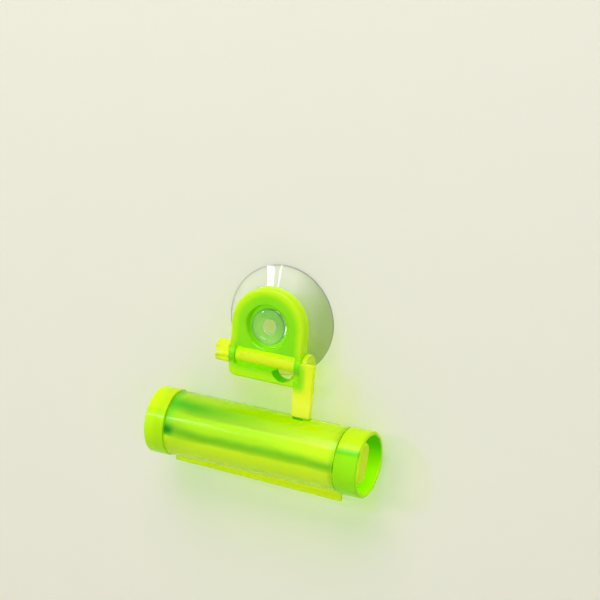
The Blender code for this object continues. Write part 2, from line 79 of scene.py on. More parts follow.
def roundPath(corners, closed=False, step=radians(11)):
    # corners are (u, v) or (u, v, radius); each radius becomes an arc between its two sides
    path = []
    count = len(corners)
    for i, corner in enumerate(corners):
        here = Vector(corner[:2])
        radius = corner[2] if len(corner) > 2 else 0
        if radius == 0 or (not closed and i in (0, count - 1)):
            path.append(here)
            continue
        toBefore = (Vector(corners[i - 1][:2]) - here).normalized()
        toAfter = (Vector(corners[(i + 1) % count][:2]) - here).normalized()
        opening = acos(max(-1, min(1, toBefore.dot(toAfter))))
        reach = radius / tan(opening / 2)
        centre = here + (toBefore + toAfter).normalized() * (radius / sin(opening / 2))
        start = here + toBefore * reach - centre
        sweep = pi - opening
        if start.x * toBefore.y - start.y * toBefore.x > 0:
            sweep = -sweep
        first = atan2(start.y, start.x)
        pieces = max(2, ceil(abs(sweep) / step))
        for k in range(pieces + 1):
            angle = first + sweep * k / pieces
            path.append(centre + Vector((cos(angle), sin(angle))) * radius)
    return path


def arcPoints(centreU, centreV, radius, start, end, count):
    turns = [start + (end - start) * k / count for k in range(count + 1)]
    return [Vector((centreU + radius * cos(a), centreV + radius * sin(a))) for a in turns]


def chain(name, points):
    # a plane merged to one vertex, then pulled along the points
    deselect()
    bpy.ops.mesh.primitive_plane_add(size=mm, location=(0, 0, 0))
    piece = bpy.context.object
    piece.name = name
    piece.data.name = name
    bpy.ops.object.mode_set(mode="EDIT")
    bpy.ops.mesh.merge(type="CENTER")
    bpy.ops.transform.translate(value=points[0])
    for before, after in zip(points, points[1:]):
        bpy.ops.mesh.extrude_region_move(TRANSFORM_OT_translate={"value": after - before})
    bpy.ops.mesh.select_all(action="SELECT")
    return piece


def settle(piece, place=(0, 0, 0), turn=(0, 0, 0)):
    # puts the place and the turn into the mesh
    pick(piece)
    piece.rotation_euler = turn
    piece.location = place
    bpy.ops.object.transform_apply(location=True, rotation=True, scale=True)
    return piece


alongX = (0, radians(90), 0)
alongMinusY = (radians(90), 0, 0)


def spun(name, corners, turn, place, steps=128):
    # corners are (radius, height, rounding) from axis to axis, or a closed ring away from it
    closed = corners[0][0] > 0
    path = roundPath(corners, closed)
    points = [Vector((point.x, 0, point.y)) for point in path]
    if closed:
        points.append(points[0].copy())
    piece = chain(name, points)
    bpy.ops.mesh.spin(steps=steps, angle=2 * pi, center=(0, 0, 0), axis=(0, 0, 1))
    bpy.ops.mesh.select_all(action="SELECT")
    bpy.ops.mesh.remove_doubles(threshold=0.002 * mm)
    bpy.ops.mesh.normals_make_consistent(inside=False)
    return settle(piece, place, turn)


def pushed(name, outline, axis, start, end):
    # a closed outline filled and pushed along X (u=Y, v=Z) or Y (u=X, v=Z)
    if axis == "X":
        points = [Vector((start, point[0], point[1])) for point in outline]
        push = (end - start, 0, 0)
    else:
        points = [Vector((point[0], start, point[1])) for point in outline]
        push = (0, end - start, 0)
    piece = chain(name, points)
    bpy.ops.mesh.edge_face_add()
    bpy.ops.mesh.extrude_region_move(TRANSFORM_OT_translate={"value": push})
    bpy.ops.mesh.select_all(action="SELECT")
    bpy.ops.mesh.normals_make_consistent(inside=False)
    bpy.ops.object.mode_set(mode="OBJECT")
    return piece


def roundEnds(piece, axis, place, width, segments=3):
    # bevels the edges that lie in one plane across the axis
    pick(piece)
    index = "XYZ".index(axis)
    bpy.ops.object.mode_set(mode="EDIT")
    bpy.ops.mesh.select_all(action="DESELECT")
    bpy.ops.object.mode_set(mode="OBJECT")
    bpy.context.tool_settings.mesh_select_mode = (False, True, False)
    points = piece.data.vertices
    for edge in piece.data.edges:
        edge.select = all(abs(points[v].co[index] - place) < 0.01 * mm for v in edge.vertices)
    bpy.ops.object.mode_set(mode="EDIT")
    bpy.ops.mesh.bevel(offset=width, segments=segments, profile=0.5, affect="EDGES")
    bpy.ops.object.mode_set(mode="OBJECT")
    bpy.context.tool_settings.mesh_select_mode = (True, False, False)
    return piece


def block(name, low, high, rounding, segments=2):
    deselect()
    middle = (Vector(low) + Vector(high)) / 2
    bpy.ops.mesh.primitive_cube_add(size=1, location=middle)
    piece = bpy.context.object
    piece.name = name
    piece.scale = Vector(high) - Vector(low)
    bpy.ops.object.transform_apply(location=True, rotation=True, scale=True)
    if rounding:
        bpy.ops.object.mode_set(mode="EDIT")
        bpy.ops.mesh.select_all(action="SELECT")
        bpy.ops.mesh.bevel(offset=rounding, segments=segments, profile=0.5, affect="EDGES")
        bpy.ops.object.mode_set(mode="OBJECT")
    return piece


def bar(name, radius, start, end, axisPlace, rounding, steps=64):
    # a round bar along X
    corners = [(0, start), (radius, start, rounding), (radius, end, rounding), (0, end)]
    return spun(name, corners, alongX, (0, axisPlace.y, axisPlace.z), steps)


def boolean(piece, other, operation):
    pick(piece)
    bpy.ops.object.modifier_add(type="BOOLEAN")
    modifier = piece.modifiers[-1]
    modifier.operation = operation
    modifier.object = other
    modifier.solver = "EXACT"
    bpy.ops.object.modifier_apply(modifier=modifier.name)
    bpy.data.objects.remove(other)


def cut(piece, *others):
    for other in others:
        boolean(piece, other, "DIFFERENCE")


def join(piece, *others):
    for other in others:
        boolean(piece, other, "UNION")


def smoothOff(piece, width, segments=2, sharp=radians(40)):
    # eases the sharp edges that the cuts left, then shades
    pick(piece)
    bpy.ops.object.mode_set(mode="EDIT")
    bpy.ops.mesh.select_all(action="SELECT")
    bpy.ops.mesh.remove_doubles(threshold=0.002 * mm)
    bpy.ops.mesh.dissolve_degenerate(threshold=0.002 * mm)
    bpy.ops.object.mode_set(mode="OBJECT")
    if width:
        bpy.ops.object.modifier_add(type="BEVEL")
        modifier = piece.modifiers[-1]
        modifier.limit_method = "ANGLE"
        modifier.angle_limit = sharp
        modifier.width = width
        modifier.segments = segments
        modifier.use_clamp_overlap = True
        bpy.ops.object.modifier_apply(modifier=modifier.name)
    bpy.ops.object.shade_smooth_by_angle(angle=radians(38))
    bpy.ops.object.modifier_add(type="WEIGHTED_NORMAL")
    modifier = piece.modifiers[-1]
    modifier.keep_sharp = True
    bpy.ops.object.modifier_apply(modifier=modifier.name)
    return piece


# suction cup

cup = {
    "rim": 20 * mm,
    "rimWidth": 2.2 * mm,
    "rimEdge": 0.7 * mm,
    "rimRounds": (0.3 * mm, 0.12 * mm, 0.3 * mm),  # inside, back, front
    "hollow": 2.2 * mm,
    "hollowKnee": (0.62, 0.80, 9 * mm),  # share of the inside, share of the height, rounding
    "dish": (11.5 * mm, 3.75 * mm, 16 * mm),  # radius, height, rounding
    "stem": (5.5 * mm, 6.45 * mm, 3 * mm),
    "shoulder": (4.35 * mm, 7.6 * mm, 0.35 * mm),
    "neck": 2.7 * mm,
    "neckRound": 0.3 * mm,
    "head": 6.55 * mm,
    "headBack": 10 * mm,
    "headFront": 12.55 * mm,
    "headEdge": 1.0 * mm,
    "headBackRound": 0.7 * mm,
    "dimple": 4.1 * mm,
    "dimpleDepth": 0.5 * mm,
    "dimpleRound": 0.3 * mm,
}


def makeCup():
    c = cup
    inside = c["rim"] - c["rimWidth"]
    insideRound, backRound, frontRound = c["rimRounds"]
    kneeOut, kneeUp, kneeRound = c["hollowKnee"]
    corners = [
        (0, c["hollow"]),
        (inside * kneeOut, c["hollow"] * kneeUp, kneeRound),
        (inside, 0, insideRound),
        (c["rim"], 0, backRound),
        (c["rim"], c["rimEdge"], frontRound),
        c["dish"],
        c["stem"],
        c["shoulder"],
        (c["neck"], c["shoulder"][1], c["neckRound"]),
        (c["neck"], c["headBack"], c["neckRound"]),
        (c["head"], c["headBack"], c["headBackRound"]),
        (c["head"], c["headFront"], c["headEdge"]),
        (c["dimple"] + c["dimpleDepth"], c["headFront"], c["dimpleRound"]),
        (c["dimple"], c["headFront"] - c["dimpleDepth"], c["dimpleRound"]),
        (0, c["headFront"] - c["dimpleDepth"]),
    ]
    piece = spun("suctionCup", corners, alongMinusY, (0, 0, 0), 160)
    return smoothOff(piece, 0)


# bracket

bracket = {
    "plateInset": 0.7 * mm,  # plate's front behind the lugs' front
    "frontRound": 1.1 * mm,
    "backRound": 0.25 * mm,
    "corner": 3 * mm,
    "skin": 1.6 * mm,
    "web": 1.8 * mm,
    "wellRadius": 7.9 * mm,
    "wellRound": 0.3 * mm,
    "wellMouth": 0.45 * mm,
    "wellFlare": (1.5, 0.5),  # of the mouth, outwards and forwards
    "neckHole": 3.0 * mm,
    "lugThickness": 2.4 * mm,
    "lugRadius": 4.3 * mm,
    "lugRound": 0.3 * mm,
    "lugInset": 0.2 * mm,
    "lugBuried": 0.6 * mm,  # the window trims the lugs' inner ends
    "holeRadius": 3.1 * mm,
    "windowAbove": 3.6 * mm,  # from the pin's axis
    "windowBelow": 3.2 * mm,
    "windowCorner": 0.5 * mm,
    "notchCentre": 7.2 * mm,
    "notchHalfWidth": 3.9 * mm,
    "notchDepth": 2.9 * mm,
    "easing": 0.16 * mm,
}
plateFront = bracketLow.y + bracket["plateInset"]
plateBack = -cup["shoulder"][1] - gap
halfWidth = bracketHigh.x
notchRadius = (bracket["notchHalfWidth"] ** 2 + bracket["notchDepth"] ** 2) / (2 * bracket["notchDepth"])
notchFloor = pinAxis.z - bracket["windowBelow"] - bracket["notchDepth"]


def archOutline(halfSize, bottom, corner, count):
    left = arcPoints(-halfSize + corner, bottom + corner, corner, pi, 1.5 * pi, 8)
    right = arcPoints(halfSize - corner, bottom + corner, corner, -pi / 2, 0, 8)
    return left + right + arcPoints(0, 0, halfSize, 0, pi, count)


def makeBracket():
    b = bracket
    windowTop = pinAxis.z + b["windowAbove"]
    windowBottom = pinAxis.z - b["windowBelow"]
    plateOutline = archOutline(halfWidth, bracketLow.z, b["corner"], 96)
    piece = pushed("hangerBracket", plateOutline, "Y", plateBack, plateFront)
    roundEnds(piece, "Y", plateFront, b["frontRound"], 6)
    roundEnds(piece, "Y", plateBack, b["backRound"], 2)

    pocketOutline = archOutline(halfWidth - b["skin"], windowTop + b["skin"], b["skin"], 72)
    pocket = pushed("pocket", pocketOutline, "Y", plateFront + b["skin"], plateBack + past)
    bossRadius, bossFront = b["wellRadius"] + b["skin"], -plateFront - b["skin"] / 2
    bossCorners = [(0, -plateBack), (bossRadius, -plateBack), (bossRadius, bossFront), (0, bossFront)]
    boss = spun("boss", bossCorners, alongMinusY, (0, 0, 0), 96)
    webFront = -plateBack + b["web"]
    mouth = b["wellMouth"]
    outwards, forwards = b["wellFlare"]
    wellCorners = [
        (0, webFront),
        (b["wellRadius"], webFront, b["wellRound"]),
        (b["wellRadius"], -plateFront - mouth, mouth),
        (b["wellRadius"] + mouth * outwards, -plateFront + mouth * forwards),
        (b["wellRadius"] + mouth * outwards, -plateFront + past),
        (0, -plateFront + past),
    ]
    well = spun("well", wellCorners, alongMinusY, (0, 0, 0), 96)
    holeBack, holeFront = -plateBack - past, webFront + past
    holeCorners = [(0, holeBack), (b["neckHole"], holeBack), (b["neckHole"], holeFront), (0, holeFront)]
    neckHole = spun("neckHole", holeCorners, alongMinusY, (0, 0, 0), 64)
    lugInner = halfWidth - b["lugThickness"]
    deep = pinAxis.y + b["lugRadius"] + past
    window = block("window", (-lugInner, plateFront - past, windowBottom), (lugInner, deep, windowTop), 0)
    lugOuter, lugEnd = halfWidth - b["lugInset"], lugInner - b["lugBuried"]
    leftLug = bar("leftLug", b["lugRadius"], -lugOuter, -lugEnd, pinAxis, b["lugRound"], 72)
    rightLug = bar("rightLug", b["lugRadius"], lugEnd, lugOuter, pinAxis, b["lugRound"], 72)
    join(piece, leftLug, rightLug)
    cut(piece, pocket)
    join(piece, boss)
    cut(piece, well, neckHole, window)
    pinHole = bar("pinHole", b["holeRadius"], -halfWidth - past, halfWidth + past, pinAxis, 0, 60)
    spread = asin(min(1, b["notchHalfWidth"] / notchRadius))
    moonStart, moonEnd = -pi / 2 - spread, -pi / 2 + spread
    moon = arcPoints(b["notchCentre"], notchFloor + notchRadius, notchRadius, moonStart, moonEnd, 28)
    moon.append(Vector((b["notchCentre"] + b["notchHalfWidth"], windowBottom + past)))
    moon.append(Vector((b["notchCentre"] - b["notchHalfWidth"], windowBottom + past)))
    notch = pushed("notch", moon, "Y", deep, plateFront - past)
    cut(piece, pinHole, notch)
    return smoothOff(piece, b["easing"])


# arm with the pin

arm = {
    "pinRadius": 2.8 * mm,
    "snapLength": 5.3 * mm,
    "snapRadius": 4.1 * mm,
    "snapRounds": (0.6 * mm, 0.2 * mm),  # outer and inner end
    "ribs": 8,
    "ribSteps": 14,  # points along one rib
    "ribDepth": 0.4 * mm,
    "slit": 1.5 * mm,
    "slitDepth": 9.5 * mm,
    "hubWidth": 1.8 * mm,
    "hubRadius": 4.6 * mm,
    "hubRound": 0.4 * mm,
    "hubProud": 0.2 * mm,
    "front": 6.0 * mm,  # strip's front ahead of the pin's axis
    "thickness": 1.9 * mm,
    "stripRise": 2.5 * mm,
    "stripRound": 0.45 * mm,
    "stripTaper": 0.2 * mm,
    "stripCorner": 0.5 * mm,
    "wingDrop": 3.95 * mm,
    "wingWidth": 1.8 * mm,
    "wingTaper": 0.45 * mm,
    "wingRounds": (0.3 * mm, 0.4 * mm),  # inner and outer corner
    "footInset": 0.6 * mm,
    "footWidth": 3.4 * mm,
    "footThickness": 1.0 * mm,
    "footReach": 1.2 * mm,
    "footRise": 1.2 * mm,  # into the strip, above the barrel
    "barb": 0.8 * mm,
    "easing": 0.14 * mm,
}


def makeArm():
    a = arm
    hubLeft = halfWidth + gap
    hubRight = hubLeft + a["hubWidth"]
    piece = bar("hangerArm", a["hubRadius"], hubLeft, hubRight, pinAxis, a["hubRound"], 96)
    stripFront = pinAxis.y - a["front"]
    stripBack = stripFront + a["thickness"]
    stripLeft, stripRight = hubLeft + a["hubProud"], armHigh.x
    wingLeft, wingTop = hubLeft - a["wingWidth"], pinAxis.z - a["wingDrop"]
    stripTop, stripEnd = pinAxis.z + a["stripRise"], roofTop + gap
    innerRound, outerRound = a["wingRounds"]
    stripOutline = roundPath([
        (stripRight, stripTop, a["stripCorner"]),
        (stripLeft, stripTop, a["stripCorner"]),
        (stripLeft, wingTop, innerRound),
        (wingLeft, wingTop, outerRound),
        (wingLeft + a["wingTaper"], stripEnd),
        (stripRight - a["stripTaper"], stripEnd),
    ], True)
    strip = pushed("strip", stripOutline, "Y", stripBack, stripFront)
    roundEnds(strip, "Y", stripFront, a["stripRound"], 3)
    snapRight = -halfWidth - gap
    snapLeft = snapRight - a["snapLength"]
    pin = bar("pin", a["pinRadius"], snapRight - a["snapLength"] / 2, hubLeft + past, pinAxis, 0, 72)
    outline = []
    steps = a["ribs"] * a["ribSteps"]
    for k in range(steps):
        angle = 2 * pi * k / steps
        radius = a["snapRadius"] - a["ribDepth"] * (0.5 - 0.5 * cos(a["ribs"] * angle))
        outline.append(Vector((pinAxis.y + radius * cos(angle), pinAxis.z + radius * sin(angle))))
    snap = pushed("snap", outline, "X", snapLeft, snapRight)
    roundEnds(snap, "X", snapLeft, a["snapRounds"][0], 4)
    roundEnds(snap, "X", snapRight, a["snapRounds"][1], 2)
    slitLow = (snapLeft - past, pinAxis.y - a["snapRadius"] - past, pinAxis.z - a["slit"] / 2)
    slitHigh = (snapLeft + a["slitDepth"], pinAxis.y + a["snapRadius"] + past, pinAxis.z + a["slit"] / 2)
    slit = block("slit", slitLow, slitHigh, 0)
    middle = (stripFront + stripBack) / 2
    footFront, footBack = middle - a["footThickness"] / 2, middle + a["footThickness"] / 2
    inner = shell["radius"] - shell["wall"]
    barbTop = barrelAxis.z + sqrt(inner ** 2 - (stripFront - barrelAxis.y) ** 2) - gap
    footTop = roofTop + a["footRise"]
    footOutline = [
        (footFront, footTop),
        (footFront, barbTop),
        (footFront - a["barb"], barbTop),
        (footFront, barbTop - a["footReach"]),
        (footBack, barbTop - a["footReach"]),
        (footBack, footTop),
    ]
    footLeft = wingLeft + a["wingTaper"] + a["footInset"]
    foot = pushed("foot", footOutline, "X", footLeft, footLeft + a["footWidth"])
    join(piece, strip, pin, snap, foot)
    cut(piece, slit)
    return smoothOff(piece, a["easing"])


# barrel shell

shell = {
    "radius": 11.6 * mm,
    "wall": 1.3 * mm,
    "openingBack": radians(-43),
    "lipThickness": 1.3 * mm,
    "lipForward": 0.4 * mm,
    "lipInset": 0.2 * mm,
    "lipDropLeft": 13.8 * mm,
    "lipDropRight": 15.5 * mm,
    "lipRound": 0.35 * mm,
    "endWall": 1.8 * mm,
    "bearing": 5.8 * mm,
    "slotReach": 3 * mm,  # below the barrel's inner roof
    "endRound": 0.25 * mm,
    "easing": 0.12 * mm,
}
# the barrel's height under the arm's strip
roofTop = barrelAxis.z + sqrt(
    shell["radius"] ** 2 - (pinAxis.y - arm["front"] + arm["thickness"] - barrelAxis.y) ** 2
)


def makeShell():
    s = shell
    y, z = barrelAxis.y, barrelAxis.z
    left, right = shellLow.x, shellHigh.x
    outer, inner = s["radius"], s["radius"] - s["wall"]
    frontEnd = 1.5 * pi + asin((s["lipThickness"] - s["lipForward"]) / 2 / outer)
    outline = arcPoints(y, z, outer, s["openingBack"], frontEnd, 168)
    outline += arcPoints(y, z, inner, frontEnd, s["openingBack"], 168)
    piece = pushed("barrelShell", outline, "X", left, right)
    roundEnds(piece, "X", left, s["endRound"], 2)
    roundEnds(piece, "X", right, s["endRound"], 2)
    buried = z - (outer + inner) / 2
    lipLeft, lipRight = left + s["lipInset"], right - s["lipInset"]
    lipOutline = [
        (lipLeft, buried),
        (lipLeft, z - s["lipDropLeft"]),
        (lipRight, z - s["lipDropRight"]),
        (lipRight, buried),
    ]
    lipFront = y - s["lipForward"]
    lip = pushed("lip", lipOutline, "Y", lipFront + s["lipThickness"], lipFront)
    roundEnds(lip, "Y", lipFront, s["lipRound"], 3)
    roundEnds(lip, "Y", lipFront + s["lipThickness"], s["lipRound"], 3)
    wallLeft, wallRight = right - s["endWall"], right - s["lipInset"] / 2
    endWall = bar("endWall", (outer + inner) / 2, wallLeft, wallRight, barrelAxis, 0, 144)
    bearing = bar("bearing", s["bearing"], wallLeft - past, right + past, barrelAxis, 0, 96)
    footMiddle = pinAxis.y - arm["front"] + arm["thickness"] / 2
    halfSlot = arm["footThickness"] / 2 + gap
    footLeft = halfWidth - arm["wingWidth"] + arm["wingTaper"] + arm["footInset"]
    slotLow = (footLeft, footMiddle - halfSlot, z + inner - s["slotReach"])
    slotHigh = (footLeft + arm["footWidth"] + 2 * gap, footMiddle + halfSlot, z + outer + past)
    slot = block("footSlot", slotLow, slotHigh, 0)
    join(piece, lip, endWall)
    cut(piece, bearing, slot)
    return smoothOff(piece, s["easing"])


# left end cap

endCap = {
    "radius": 12 * mm,
    "wall": 1.6 * mm,
    "recess": 3.4 * mm,
    "spigot": 3 * mm,
    "bore": 3.3 * mm,
    "outerRound": 1.1 * mm,
    "innerRound": 0.35 * mm,
    "rimRound": 0.35 * mm,
    "floorRound": 0.5 * mm,
    "boreRound": 0.25 * mm,
    "seatRound": 0.15 * mm,
    "spigotRound": 0.4 * mm,
}


def makeEndCap():
    e = endCap
    outboard, floorX = capLow.x, capLow.x + e["recess"]
    seat, spigotEnd = capHigh.x - e["spigot"], capHigh.x
    spigotRadius = shell["radius"] - shell["wall"] - gap
    corners = [
        (e["bore"], floorX, e["boreRound"]),
        (e["radius"] - e["wall"], floorX, e["floorRound"]),
        (e["radius"] - e["wall"], outboard, e["rimRound"]),
        (e["radius"], outboard, e["outerRound"]),
        (e["radius"], seat, e["innerRound"]),
        (spigotRadius, seat, e["seatRound"]),
        (spigotRadius, spigotEnd, e["spigotRound"]),
        (e["bore"], spigotEnd, e["boreRound"]),
    ]
    piece = spun("leftEndCap", corners, alongX, (0, barrelAxis.y, barrelAxis.z), 144)
    return smoothOff(piece, 0)


# winding roller

roller = {
    "radius": 5.5 * mm,
    "slot": 2.2 * mm,
    "slotInset": 1.5 * mm,
    "slotTurn": radians(22),  # its lower mouth faces the shell's opening
    "journal": 3.0 * mm,
    "snapRadius": 3.7 * mm,
    "snapLength": 1.8 * mm,
    "snapRounds": (0.3 * mm, 0.2 * mm, 0.15 * mm),  # tip, widest place, behind it
    "bodyRounds": (0.3 * mm, 0.5 * mm, 0.2 * mm),  # at the journal, left end, right end
    "slit": 1.1 * mm,
    "tenon": (3.0 * mm, 6.4 * mm),  # thickness and height
    "tenonLength": 4.5 * mm,
    "tenonRound": 0.3 * mm,
    "easing": 0.15 * mm,
}


def makeRoller():
    r = roller
    y, z = barrelAxis.y, barrelAxis.z
    left = rollerLow.x
    journalEnd = left + r["snapLength"]
    bodyLeft = capHigh.x + gap
    bodyRight = rollerHigh.x - r["tenonLength"]
    tipRound, wideRound, behindRound = r["snapRounds"]
    rootRound, leftRound, rightRound = r["bodyRounds"]
    corners = [
        (0, left),
        (r["journal"] - tipRound, left, tipRound),
        (r["snapRadius"], journalEnd, wideRound),
        (r["journal"], journalEnd, behindRound),
        (r["journal"], bodyLeft, rootRound),
        (r["radius"], bodyLeft, leftRound),
        (r["radius"], bodyRight, rightRound),
        (0, bodyRight),
    ]
    piece = spun("windingRoller", corners, alongX, (0, y, z), 96)
    thick, tall = r["tenon"]
    tenonLow = (bodyRight - past, y - thick / 2, z - tall / 2)
    tenonHigh = (rollerHigh.x, y + thick / 2, z + tall / 2)
    tenon = block("tenon", tenonLow, tenonHigh, r["tenonRound"])
    slotLeft = bodyLeft + r["slotInset"]
    slotRight = shellHigh.x - shell["endWall"] - r["slotInset"]
    slotLow = (slotLeft, -r["slot"] / 2, -r["radius"] - past)
    slotHigh = (slotRight, r["slot"] / 2, r["radius"] + past)
    slot = block("slot", slotLow, slotHigh, 0)
    settle(slot, (0, y, z), (r["slotTurn"], 0, 0))
    slitLow = (left - past, y - r["slit"] / 2, z - r["snapRadius"] - past)
    slitHigh = (bodyLeft - gap, y + r["slit"] / 2, z + r["snapRadius"] + past)
    slit = block("slit", slitLow, slitHigh, 0)
    join(piece, tenon)
    cut(piece, slot, slit)
    return smoothOff(piece, r["easing"])


# turning knob

knob = {
    "radius": 12 * mm,
    "wall": 1.6 * mm,
    "floor": 2.5 * mm,
    "rimRound": 0.75 * mm,
    "backRound": 0.9 * mm,
    "innerRim": 0.8,  # of the rim's rounding
    "hollowRound": 0.6 * mm,
    "gripLength": 15 * mm,
    "gripThickness": 7 * mm,
    "gripRecess": 2 * mm,
    "gripRound": 0.9 * mm,
    "tilt": radians(10),
    "easing": 0.2 * mm,
}


def makeKnob():
    k = knob
    y, z = barrelAxis.y, barrelAxis.z
    left, right = knobLow.x, knobHigh.x
    floorX = left + k["floor"]
    corners = [
        (0, left),
        (k["radius"], left, k["backRound"]),
        (k["radius"], right, k["rimRound"]),
        (k["radius"] - k["wall"], right, k["rimRound"] * k["innerRim"]),
        (k["radius"] - k["wall"], floorX, k["hollowRound"]),
        (0, floorX),
    ]
    piece = spun("turningKnob", corners, alongX, (0, y, z), 144)
    endRadius = k["gripThickness"] / 2
    reach = k["gripLength"] / 2 - endRadius
    leanY, leanZ = reach * sin(k["tilt"]), reach * cos(k["tilt"])
    outline = arcPoints(y + leanY, z + leanZ, endRadius, -k["tilt"], pi - k["tilt"], 32)
    outline += arcPoints(y - leanY, z - leanZ, endRadius, pi - k["tilt"], 2 * pi - k["tilt"], 32)
    grip = pushed("grip", outline, "X", floorX - past, right - k["gripRecess"])
    roundEnds(grip, "X", right - k["gripRecess"], k["gripRound"], 5)
    thick, tall = roller["tenon"]
    halfThick, halfTall = thick / 2 + gap, tall / 2 + gap
    socketLow = (left - past, y - halfThick, z - halfTall)
    socketHigh = (rollerHigh.x + gap, y + halfThick, z + halfTall)
    socket = block("socket", socketLow, socketHigh, 0)
    join(piece, grip)
    cut(piece, socket)
    return smoothOff(piece, k["easing"])


# stage and camera

photoView = {
    "azimuth": radians(23.9),
    "elevation": radians(15.5),
    "roll": radians(4.8),
    "lens": 198,
    "sensor": 36,
    "clip": (0.05, 20),
    "distance": 1166.6 * mm,
    "originRight": -6.19 * mm,  # the cup's centre from the middle of the picture
    "originUp": -7.07 * mm,
}


def makeCamera():
    v = photoView
    az, el, roll = v["azimuth"], v["elevation"], v["roll"]
    right = Vector((cos(az), sin(az), 0))
    up = Vector((-sin(az) * sin(el), cos(az) * sin(el), cos(el)))
    back = Vector((sin(az) * cos(el), -cos(az) * cos(el), sin(el)))
    rolledRight = right * cos(roll) + up * sin(roll)
    rolledUp = up * cos(roll) - right * sin(roll)
    place = back * v["distance"] - rolledRight * v["originRight"] - rolledUp * v["originUp"]
    data = bpy.data.cameras.new("photoCamera")
    data.lens = v["lens"]
    data.sensor_width = v["sensor"]
    data.clip_start, data.clip_end = v["clip"]
    camera = bpy.data.objects.new("photoCamera", data)
    bpy.context.scene.collection.objects.link(camera)
    turn = Matrix((rolledRight, rolledUp, back)).transposed().to_4x4()
    camera.matrix_world = Matrix.Translation(place) @ turn
    bpy.context.scene.camera = camera


studio = {
    "wallColour": (0.84, 0.825, 0.72),
    "worldColour": (0.90, 0.92, 0.93),
    "worldStrength": {"light": 0.46, "seen": 0.9},
    "lamps": {
        "overheadLamp": {"place": (-0.05, -0.70, 1.05), "size": (0.9, 0.7), "power": 9.2},
        "sideLamp": {"place": (0.95, -0.85, 0.15), "size": (0.5, 0.5), "power": 1.2},
        "windowLamp": {"place": (-0.695, -0.917, 0.337), "size": (0.13, 0.17), "power": 2.0},
        "stripLamp": {"place": (-0.532, -0.97, 0.47), "size": (0.015, 0.22), "power": 0.3},
    },
    "wallTop": 1.2,
    "floorHeight": -0.55,
    "bend": 0.2,
    "halfWidth": 1.6,
    "depth": 1.6,
    "clear": 0.2 * mm,  # wall behind the cup's rim
}


def areaLamp(name, settings):
    deselect()
    place = Vector(settings["place"])
    bpy.ops.object.light_add(type="AREA", location=place)
    lamp = bpy.context.object
    lamp.name = name
    lamp.data.shape = "RECTANGLE"
    lamp.data.size, lamp.data.size_y = settings["size"]
    lamp.data.energy = settings["power"]
    lamp.rotation_euler = (barrelAxis - place).to_track_quat("-Z", "Y").to_euler()


def makeStage():
    st = studio
    wall, floor, bend = st["clear"], st["floorHeight"], st["bend"]
    profile = [Vector((wall, st["wallTop"]))]
    profile += arcPoints(wall - bend, floor + bend, bend, 0, -pi / 2, 24)
    profile.append(Vector((-st["depth"], floor)))
    sweep = chain("wallSweep", [Vector((-st["halfWidth"], point.x, point.y)) for point in profile])
    bpy.ops.mesh.extrude_region_move(TRANSFORM_OT_translate={"value": (2 * st["halfWidth"], 0, 0)})
    bpy.ops.object.mode_set(mode="OBJECT")
    bpy.ops.object.shade_smooth_by_angle(angle=radians(30))
    # faces have to look towards the object, because the wall shows on that side only
    if sweep.data.polygons[0].normal.y > 0:
        bpy.ops.object.mode_set(mode="EDIT")
        bpy.ops.mesh.select_all(action="SELECT")
        bpy.ops.mesh.flip_normals()
        bpy.ops.object.mode_set(mode="OBJECT")
    material, nodes, links = blankMaterial("paleWall")
    paint = nodes.new("ShaderNodeBsdfDiffuse")
    paint.inputs["Color"].default_value = (*st["wallColour"], 1)
    clear = nodes.new("ShaderNodeBsdfTransparent")
    side = nodes.new("ShaderNodeNewGeometry")
    mix = nodes.new("ShaderNodeMixShader")
    links.new(side.outputs["Backfacing"], mix.inputs["Fac"])
    links.new(paint.outputs["BSDF"], mix.inputs[1])
    links.new(clear.outputs["BSDF"], mix.inputs[2])
    links.new(mix.outputs["Shader"], nodes["output"].inputs["Surface"])
    sweep.data.materials.append(material)

    world = bpy.data.worlds.new("paleWorld")
    bpy.context.scene.world = world
    world.use_nodes = True
    background = world.node_tree.nodes["Background"]
    background.inputs["Color"].default_value = (*st["worldColour"], 1)
    strength = st["worldStrength"]
    nodes, links = world.node_tree.nodes, world.node_tree.links
    # glass and gloss see the same pale background as the camera
    path = nodes.new("ShaderNodeLightPath")
    seen = path.outputs["Is Camera Ray"]
    for kind in ("Is Glossy Ray", "Is Transmission Ray"):
        seen = sums(nodes, links, "MAXIMUM", seen, path.outputs[kind])
    level = ramp(nodes, links, seen, 0, 1, strength["light"], strength["seen"])
    links.new(level, background.inputs["Strength"])
    for name, settings in st["lamps"].items():
        areaLamp(name, settings)
    bpy.context.scene.view_settings.view_transform = "Standard"
    print("stage made")


# materials

def blankMaterial(name):
    material = bpy.data.materials.new(name)
    material.use_nodes = True
    nodes, links = material.node_tree.nodes, material.node_tree.links
    nodes.clear()
    nodes.new("ShaderNodeOutputMaterial").name = "output"
    return material, nodes, links


def noise(nodes, links, coords, scale, detail, roughness=0.5):
    node = nodes.new("ShaderNodeTexNoise")
    node.inputs["Scale"].default_value = scale
    node.inputs["Detail"].default_value = detail
    node.inputs["Roughness"].default_value = roughness
    links.new(coords.outputs["Object"], node.inputs["Vector"])
    return node.outputs["Fac"]


def ramp(nodes, links, value, low, high, lowOut=0, highOut=1):
    node = nodes.new("ShaderNodeMapRange")
    node.inputs["From Min"].default_value = low
    node.inputs["From Max"].default_value = high
    node.inputs["To Min"].default_value = lowOut
    node.inputs["To Max"].default_value = highOut
    links.new(value, node.inputs["Value"])
    return node.outputs["Result"]


def socketNamed(collection, name, kind):
    return next(item for item in collection if item.name == name and item.type == kind)


